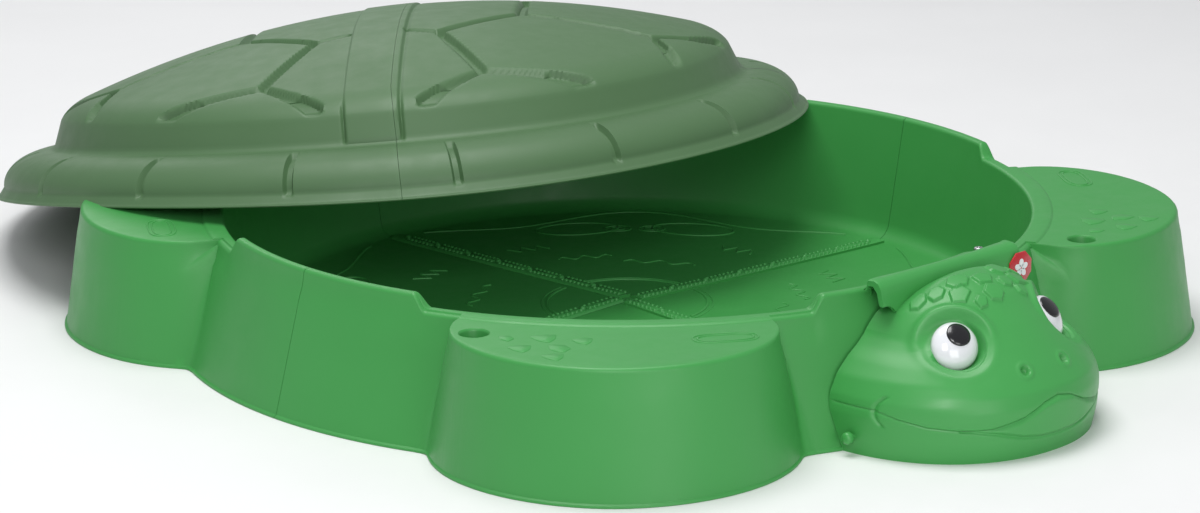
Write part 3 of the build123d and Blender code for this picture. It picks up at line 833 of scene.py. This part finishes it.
def build_cover_rivets():
    """Rivets through the ribs under the seam."""
    shapes = Builder()
    rings = ((0.5, -6.0), (4.6, -6.0), (5.2, -5.0), (5.2, -3.6), (3.0, -3.6), (3.0, 3.6),
             (6.5, 3.6), (6.5, 5.0), (5.4, 6.1), (0.5, 6.1))      # radius, place across the seam
    faces = grid_faces(len(rings), RIVET_SIDES, wrap=True) + end_caps(len(rings), RIVET_SIDES)
    for reach in RIVET_REACHES:
        height = COVER_TOP - CROWN_FALL * (reach / SHOULDER_R) ** 2 - 24.0
        local = np.array([(COVER_SEAM + along, reach + radius * c, height + radius * n)
                          for radius, along in rings for c, n in round_steps(RIVET_SIDES)])
        shapes.add(place_cover(*local.T), faces)
    rivets = make_object("cover_rivets", shapes.points, shapes.faces, SAGE, 50)
    place_piece(rivets, "cover", "cover_seam_rivets")


# ---- head ----
HEAD_BACK_Y = -450.0
HEAD_TOP_Z = 164.0
SHELL_SHARE = 0.965                    # size of the head's inside, of its outside
EYE_AT = np.array([69.0, -539.0, 106.5])
EYE_FACING = np.array([0.37, -0.80, 0.47]) / np.linalg.norm([0.37, -0.80, 0.47])
EYE_R = 24.0
EYE_DOME = 13.0
PUPIL_R = 12.5
NOSTRIL = np.array([28.0, -593.0, 84.0])
PIN_AT = (147.5, -480.0, 18.0)
SCREW_AT = (79.7, -434.5, 153.2)
COLLAR_HALF = 102.0
COLLAR_BOW_R = 441.0                   # the rim's middle, which the collar's back follows
COLLAR_FOOT_Z = 112.0
# the collar's section, as (forward place, height) from behind the rim, over it and back under
COLLAR_PROFILE = ((-428.5, 139), (-429.3, 148.5), (-431.5, 151.5), (-437, 152.8), (-444, 154.8),
                  (-450, 158.6), (-456, 162.4), (-461, 163.2), (-466, 160.8), (-469.5, 155.5),
                  (-471.5, 146), (-473, 130), (-474, 112), (-468.5, 112), (-467, 140),
                  (-464, 152), (-460, 157.5), (-456, 157), (-451, 153.5), (-446, 150.8),
                  (-440, 149.6), (-434.4, 149.2), (-433.6, 139))
BADGE_AT = (100.0, 138.0)              # across, up
BADGE_CORNER_R = 17.68
BADGE_SIDES = 8
PETALS = 5
PETAL_SIDES = 24
# the head's half width and its depth, each as (height, value)
WIDTH_CURVE = ((0, 150), (20, 153), (42, 155), (58, 152), (76, 142), (90, 127), (99, 114),
               (108, 104), (122, 95), (134, 86), (145, 72), (154, 54), (161, 32), (164, 6))
DEPTH_CURVE = ((0, 158), (20, 163), (52, 165), (66, 161), (85, 147), (105, 130), (122, 114),
               (134, 101), (145, 90), (154, 76), (161, 54), (164, 12))
# low pads on the forehead: middle (x, y), half size, corners
PAIRED_SCALES = ((70, -490, 9, 6), (55, -500, 9, 6), (41, -518, 11, 5), (29, -504, 13, 6),
                 (29, -536, 6, 5))
SINGLE_SCALES = ((-9, -534, 11, 6), (-5, -515, 11, 5), (16, -526, 8, 6))
HEAD_SCALES = SINGLE_SCALES + tuple((side * x, y, size, corners) for side in (-1, 1)
                                    for x, y, size, corners in PAIRED_SCALES)


def curve_value(curve, at):
    """A curve's value at heights, with the corners between its points softened."""
    heights = np.array([c[0] for c in curve], float)
    values = np.array([c[1] for c in curve], float)
    dense = np.linspace(heights[0], heights[-1], 400)
    raw = np.interp(dense, heights, values)
    kernel = np.hanning(25)
    padded = np.pad(raw, 12, mode="edge")
    soft = np.convolve(padded, kernel / kernel.sum(), mode="valid")
    return np.interp(at, dense, soft)


def mouth_height(x):
    """Height of the mouth line at a distance from the middle: a wide cupid's bow."""
    return np.interp(np.abs(x), (0, 20, 45, 75, 100, 125, 140, 148, 160),
                     (59, 55, 43, 35.5, 34.5, 38, 44, 50, 50))


def lip_height(x):
    """Height of the lower lip's line at a distance from the middle."""
    return np.interp(np.abs(x), (0, 25, 45, 72, 95, 104), (19, 20, 23, 30, 34, 34.5))


def eye_polar(p, side):
    """Depth along an eye's axis, distance from the axis, and how far up round the eye."""
    mirror = np.array([side, 1, 1])
    facing = EYE_FACING * mirror
    away = p - EYE_AT * mirror
    depth = away @ facing
    radial = np.linalg.norm(away - depth[:, None] * facing, axis=1)
    up = np.array([0, 0, 1.0]) - facing * facing[2]
    up /= np.linalg.norm(up)
    upward = (away @ up) / np.maximum(radial, 1.0)
    return depth, radial, np.clip(upward, -1, 1), facing


def mouth_relief(x, y, z):
    """The mouth line, the lower lip and the crease at each end of the mouth."""
    front = y < HEAD_BACK_Y - 6
    mouth = z - mouth_height(x)
    push = -1.0 * np.exp(-(mouth / 1.2) ** 2) * front
    lip = z - lip_height(x)
    middle = np.abs(x) < 103
    push -= 1.5 * np.exp(-(lip / 1.5) ** 2) * middle * front
    between = (mouth < 0) & (lip > 0) & middle
    push += 2.0 * between * smooth_step(-mouth, 0.5, 5.0) * smooth_step(lip, 0.5, 5.0)
    bend = y + 504.0 + ((z - 49.0) / 12.0) ** 2 * 6.0
    crease = np.hypot(bend / 2.4, np.maximum(np.abs(z - 49.0) - 13.0, 0) / 2.0)
    return push - 2.2 * np.exp(-crease ** 2) * (np.abs(x) > 120)


def eye_and_nose_relief(p, side):
    """One eye's socket and brow, and the nostril on the same side."""
    depth, radial, upward, _ = eye_polar(p, side)
    near = depth > -45
    high = np.clip(upward, 0, 1)
    socket = -6.0 * (1 - smooth_step(radial, 27.0, 36.0)) * (0.3 + 0.7 * high) * near
    brow = 5.0 * np.exp(-((radial - 38.0) / 4.5) ** 2) * (0.1 + 0.9 * high) * near
    nose = np.linalg.norm(p - NOSTRIL * np.array([side, 1, 1]), axis=1)
    nostril = -4.6 * (1 - smooth_step(nose, 2.6, 6.2))
    return socket + brow + nostril + 0.9 * np.exp(-((nose - 8.0) / 2.2) ** 2)


def scale_relief(x, y, z):
    """The low pads on the forehead."""
    push = np.zeros_like(x)
    for sx, sy, size, corners in HEAD_SCALES:
        turn = np.arctan2(y - sy, (x - sx) / 1.2) + sx
        wedge = np.cos((turn % (2 * pi / corners)) - pi / corners)
        flat = np.hypot((x - sx) / 1.2, y - sy) * wedge
        push += 2.6 * (1 - smooth_step(flat, size * 0.66, size * 0.66 + 1.9)) * (z > 118)
    return push


def head_relief(p):
    """Push along the normal for every feature of the face."""
    x, y, z = p[:, 0], p[:, 1], p[:, 2]
    push = mouth_relief(x, y, z)
    for side in (-1, 1):
        push += eye_and_nose_relief(p, side)
    return push + scale_relief(x, y, z)


def press_sockets(p):
    """Flattens a round seat into the head where each eye sits."""
    for side in (-1, 1):
        depth, radial, _, facing = eye_polar(p, side)
        blend = (1 - smooth_step(radial, EYE_R + 1.0, EYE_R + 5.0)) * (depth > -45)
        p = p - facing * (blend * np.maximum(depth + 3.0, 0))[:, None]
    return p


def rest_on_wall(points):
    """Moves the head's back edge out to the basin's wall."""
    limit = wall_outer(np.clip(points[..., 2], 0, RIM_Z)) + 0.3
    back = -np.sqrt(np.maximum(limit ** 2 - points[..., 0] ** 2, 0))
    points[..., 1] = np.minimum(points[..., 1], back)
    return points


def head_grid():
    """Points of the head in rows, from the ground over the mouth line to the crown."""
    sweep = np.linspace(-pi / 2, pi / 2, 420)
    power = 2 / 2.15
    side = np.sign(np.sin(sweep)) * np.abs(np.sin(sweep)) ** power
    fore = np.abs(np.cos(sweep)) ** power
    mouth = mouth_height(155.0 * side)
    shares = np.linspace(0, 1, 60)
    levels = [mouth * t for t in shares]
    levels += [mouth + 0.3 + (HEAD_TOP_Z - mouth - 0.3) * t for t in np.linspace(0, 1, 250)]
    grid = []
    for z in levels:
        x = curve_value(WIDTH_CURVE, z) * side
        y = HEAD_BACK_Y - curve_value(DEPTH_CURVE, z) * fore
        grid.append(np.stack([x, y, z + 0 * x], 1))
    grid = np.array(grid)
    back = smooth_step(grid[..., 1], -497.0, -455.0)
    grid[..., 2] -= 0.34 * np.maximum(grid[..., 2] - 112.0, 0) * back
    return grid, len(shares)


def shaped_head():
    """The head's outside as a grid with its relief, and the row where the mouth splits it."""
    grid, split = head_grid()
    normal = np.cross(np.gradient(grid, axis=1), np.gradient(grid, axis=0))
    normal /= np.maximum(np.linalg.norm(normal, axis=2), 1e-9)[..., None]
    front_row, front_column = 100, 210                 # a point on the front, to tell out from in
    if normal[front_row, front_column, 1] > 0:
        normal = -normal
    points = grid.reshape(-1, 3)
    points = points + normal.reshape(-1, 3) * head_relief(points)[:, None]
    return press_sockets(points).reshape(grid.shape), split


def head_shell(outer, is_top):
    """Points and faces of a shell with the given outside, closed at its edges."""
    rows, columns = outer.shape[:2]
    inner = outer.copy()
    inner[:, :, 0] *= SHELL_SHARE
    inner[:, :, 1] = HEAD_BACK_Y + (outer[:, :, 1] - HEAD_BACK_Y) * SHELL_SHARE
    if is_top:
        inner[:, :, 2] = np.minimum(inner[:, :, 2], outer[:, :, 2].max() - 6)
    outer, inner = rest_on_wall(outer), rest_on_wall(inner)
    points = np.concatenate([outer.reshape(-1, 3), inner.reshape(-1, 3)])
    return points, shell_faces(rows, range(rows), columns)


def build_head():
    """The head as one smooth field, split at the mouth into a jaw and an upper shell."""
    shaped, split = shaped_head()
    jaw = make_object("head_lower", *head_shell(shaped[:split], False), HEAD_GREEN, 60)
    place_piece(jaw, "basin", "head_jaw")
    crown = make_object("head_crown", *head_shell(shaped[split:], True), HEAD_GREEN, 60)
    add_collar(crown)
    place_piece(crown, "basin", "head_upper")


def add_collar(thing):
    """The saddle that hooks over the rim and carries the badge."""
    shapes = Builder()
    profile = COLLAR_PROFILE
    stations = np.linspace(-COLLAR_HALF, COLLAR_HALF, 70)
    points = []
    for x in stations:
        drop = smooth_step(abs(x), COLLAR_HALF - 2.0, COLLAR_HALF) * 1.0
        for y, z in profile:
            bow = COLLAR_BOW_R - np.sqrt(COLLAR_BOW_R ** 2 - x * x)
            follow = smooth_step(y, -464.0, -446.0)
            end = smooth_step(abs(x), 64.0, COLLAR_HALF - 6.0)
            slim = end * (y > -459.0)
            reach = (y + bow * follow) * (1 - slim) + (-451.0 + 0.2 * (y + 451.0)) * slim
            lowest = COLLAR_FOOT_Z + 26.0 * end + 13.0 * slim
            points.append((x, reach, max(z, lowest) - drop * (z > 150)))
    count = len(profile)
    faces = grid_faces(len(stations), count, wrap=True)
    faces.append(list(range(count)))
    faces.append([(len(stations) - 1) * count + k for k in range(count)][::-1])
    shapes.add(points, faces)
    join(thing, shapes, HEAD_GREEN)


def frame_disc(name, centre, facing, rings, material, node, sides=64):
    """A turned piece about an axis, from rings of (radius, height along the axis)."""
    facing = Vector(facing).normalized()
    basis = facing.to_track_quat("Z", "Y").to_matrix()
    points = [tuple(Vector(centre) + basis @ Vector((r * c, r * n, h)))
              for r, h in rings for c, n in round_steps(sides)]
    faces = grid_faces(len(rings), sides, wrap=True) + end_caps(len(rings), sides)
    thing = make_object(name, points, faces, material, 50)
    place_piece(thing, "basin", node)


def dome_rings(radius, rim, dome, steps=14):
    """Rings from the back of a disc, round its edge, to the top of its dome."""
    rings = [(radius * 0.4, -rim), (radius - 0.8, -rim), (radius, -rim + 0.8), (radius, -0.6)]
    for t in np.linspace(0.06, 1, steps):
        rings.append((radius * cos(t * pi / 2) + 0.3, dome * sin(t * pi / 2)))
    return rings


def build_eyes():
    for side, word in ((-1, "left"), (1, "right")):
        mirror = np.array([side, 1, 1])
        facing = EYE_FACING * mirror
        centre = EYE_AT * mirror - facing * 3.0
        frame_disc("eye_ball_" + word, centre, facing, dome_rings(EYE_R, 4.0, EYE_DOME), WHITE,
                   "eye_white_" + word)
        up = np.array([0, 0, 1.0]) - facing * facing[2]
        up /= np.linalg.norm(up)
        inward = np.cross(up, facing) * side
        pupil = centre + up * 9.6 - inward * 2.4 + facing * 9.2
        tilt = facing + up * 0.34 - inward * 0.08
        frame_disc("eye_pupil_dome_" + word, pupil, tilt, dome_rings(PUPIL_R, 2.0, 4.0), BLACK,
                   "eye_pupil_" + word)


def build_pins_and_screw():
    rings = [(2.0, -12.0), (3.2, -11.5), (3.2, 6.0), (3.4, 7.0), (5.6, 7.4), (6.2, 8.4),
             (6.2, 12.0), (5.4, 14.2), (3.6, 15.2), (0.6, 15.6)]
    for side, word in ((-1, "left"), (1, "right")):
        frame_disc("lock_pin_" + word, (side * PIN_AT[0], *PIN_AT[1:]), (side, 0, 0), rings,
                   HEAD_GREEN, "head_lock_pin_" + word, 40)
    head = [(0.5, -22.0), (2.0, -21.0), (2.0, 0.0), (5.0, 0.2), (5.0, 1.2), (4.0, 2.4),
            (2.2, 2.6), (1.8, 1.4), (0.4, 1.2)]
    frame_disc("collar_screw_head", SCREW_AT, (0, 0, 1), head, STEEL, "collar_screw",
               40)


def badge_plate(back):
    """The badge's eight-sided plate with a sloped edge."""
    levels = ((1.0, 0.0), (1.0, -1.4), (0.93, -2.0))       # share of the radius, place outwards
    points = [(BADGE_AT[0] + BADGE_CORNER_R * share * c, back + out,
               BADGE_AT[1] + BADGE_CORNER_R * share * n)
              for share, out in levels for c, n in round_steps(BADGE_SIDES, 0.5)]
    faces = grid_faces(len(levels), BADGE_SIDES, wrap=True) + end_caps(len(levels), BADGE_SIDES)
    return make_object("collar_badge_plate", points, faces, RED, 30)


def badge_flower(back):
    """A plain flower of separate oval petals, standing on the badge."""
    flower = Builder()
    for k in range(PETALS):
        a = 2 * pi * k / PETALS + pi / 2
        petal = circle_path((5.4 * cos(a), 5.4 * sin(a)), 4.4, 3.2, 0.0, a * 180 / pi,
                            count=PETAL_SIDES)
        points = [(BADGE_AT[0] + x, back - out, BADGE_AT[1] + y)
                  for out in (1.8, 2.5) for x, y, _ in petal]
        faces = grid_faces(2, PETAL_SIDES, wrap=True)
        faces += [list(range(PETAL_SIDES)), list(range(PETAL_SIDES, 2 * PETAL_SIDES))[::-1]]
        flower.add(points, faces)
    return make_object("flower", flower.points, flower.faces, WHITE, 40)


def build_badge():
    """A red eight-sided badge with a plain white flower."""
    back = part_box("collar_badge")[1].y / MM - BASIN_PLACE[1]
    badge = badge_plate(back)
    badge.data.materials.append(WHITE)
    flower = badge_flower(back)
    work = bmesh.new()
    work.from_mesh(badge.data)
    before = len(work.faces)
    work.from_mesh(flower.data)
    work.faces.ensure_lookup_table()
    for face in work.faces[before:]:
        face.material_index = 1
    work.to_mesh(badge.data)
    work.free()
    bpy.data.objects.remove(flower)
    place_piece(badge, "basin", "collar_badge")


def colour_seam_rivets():
    """The rivets at the basin's seams keep their own shape and take the basin's material."""
    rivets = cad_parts["basin_seam_rivets"]
    rivets.data.materials.clear()
    rivets.data.materials.append(GREEN)


# ---- stage ----
FLOOR_HALF = 9000.0
CAMERA_TURN = -42.98                   # degrees round from straight in front of the head
CAMERA_RISE = 16.11
CAMERA_ROLL = -0.31
CAMERA_DISTANCE = 4485.8
CAMERA_TARGET = Vector((-27.0, 14.3, 74.2))
CAMERA_LENS = 124.8


def area_light(name, place, target, size, power):
    data = bpy.data.lights.new(name, "AREA")
    data.size = size
    data.energy = power
    lamp = bpy.data.objects.new(name, data)
    lamp.location = place
    lamp.rotation_euler = (Vector(target) - Vector(place)).to_track_quat("-Z", "Y").to_euler()
    bpy.context.scene.collection.objects.link(lamp)


def build_floor():
    half = FLOOR_HALF
    corners = [(-half, -half, 0), (half, -half, 0), (half, half, 0), (-half, half, 0)]
    pale = plastic("pale_floor", (0.86, 0.86, 0.86), (0.84, 0.84, 0.84), 0.6)
    make_object("floor", corners, [(0, 1, 2, 3)], pale)


def build_lights():
    """Even light from all round, with soft lamps above, in front and behind (metres, watts)."""
    world = bpy.data.worlds.new("studio")
    world.use_nodes = True
    background = world.node_tree.nodes["Background"]
    background.inputs["Color"].default_value = (0.95, 0.97, 1.0, 1)
    background.inputs["Strength"].default_value = 0.38
    bpy.context.scene.world = world
    bpy.context.scene.view_settings.view_transform = "Standard"
    area_light("top", (-0.3, 0.1, 3.4), (0, -0.1, 0), 2.0, 84)
    area_light("key", (-2.3, -2.5, 1.8), (0, -0.2, 0), 1.1, 34)
    area_light("low_fill", (-1.2, -3.7, 0.75), (0, 0.1, 0.1), 1.4, 18)
    area_light("back", (1.4, 3.0, 2.0), (0, 0, 0.1), 1.8, 14)


def build_camera():
    turn, rise, roll = radians(CAMERA_TURN), radians(CAMERA_RISE), radians(CAMERA_ROLL)
    back = Vector((sin(turn) * cos(rise), -cos(turn) * cos(rise), sin(rise)))
    right = Vector((cos(turn), sin(turn), 0))
    up = back.cross(right)
    right, up = (right * cos(roll) + up * sin(roll), up * cos(roll) - right * sin(roll))
    data = bpy.data.cameras.new("camera")
    data.lens = CAMERA_LENS
    data.sensor_width = 36.0
    data.clip_end = 50.0
    camera = bpy.data.objects.new("camera", data)
    place = (CAMERA_TARGET + Vector(BASIN_PLACE) + back * CAMERA_DISTANCE) * MM
    camera.matrix_world = Matrix.Translation(place) @ Matrix((right, up, back)).transposed().to_4x4()
    bpy.context.scene.collection.objects.link(camera)
    bpy.context.scene.camera = camera


build_basin()
build_cover()
build_cover_rivets()
build_head()
build_eyes()
build_pins_and_screw()
build_badge()
colour_seam_rivets()
build_floor()
build_lights()
build_camera()
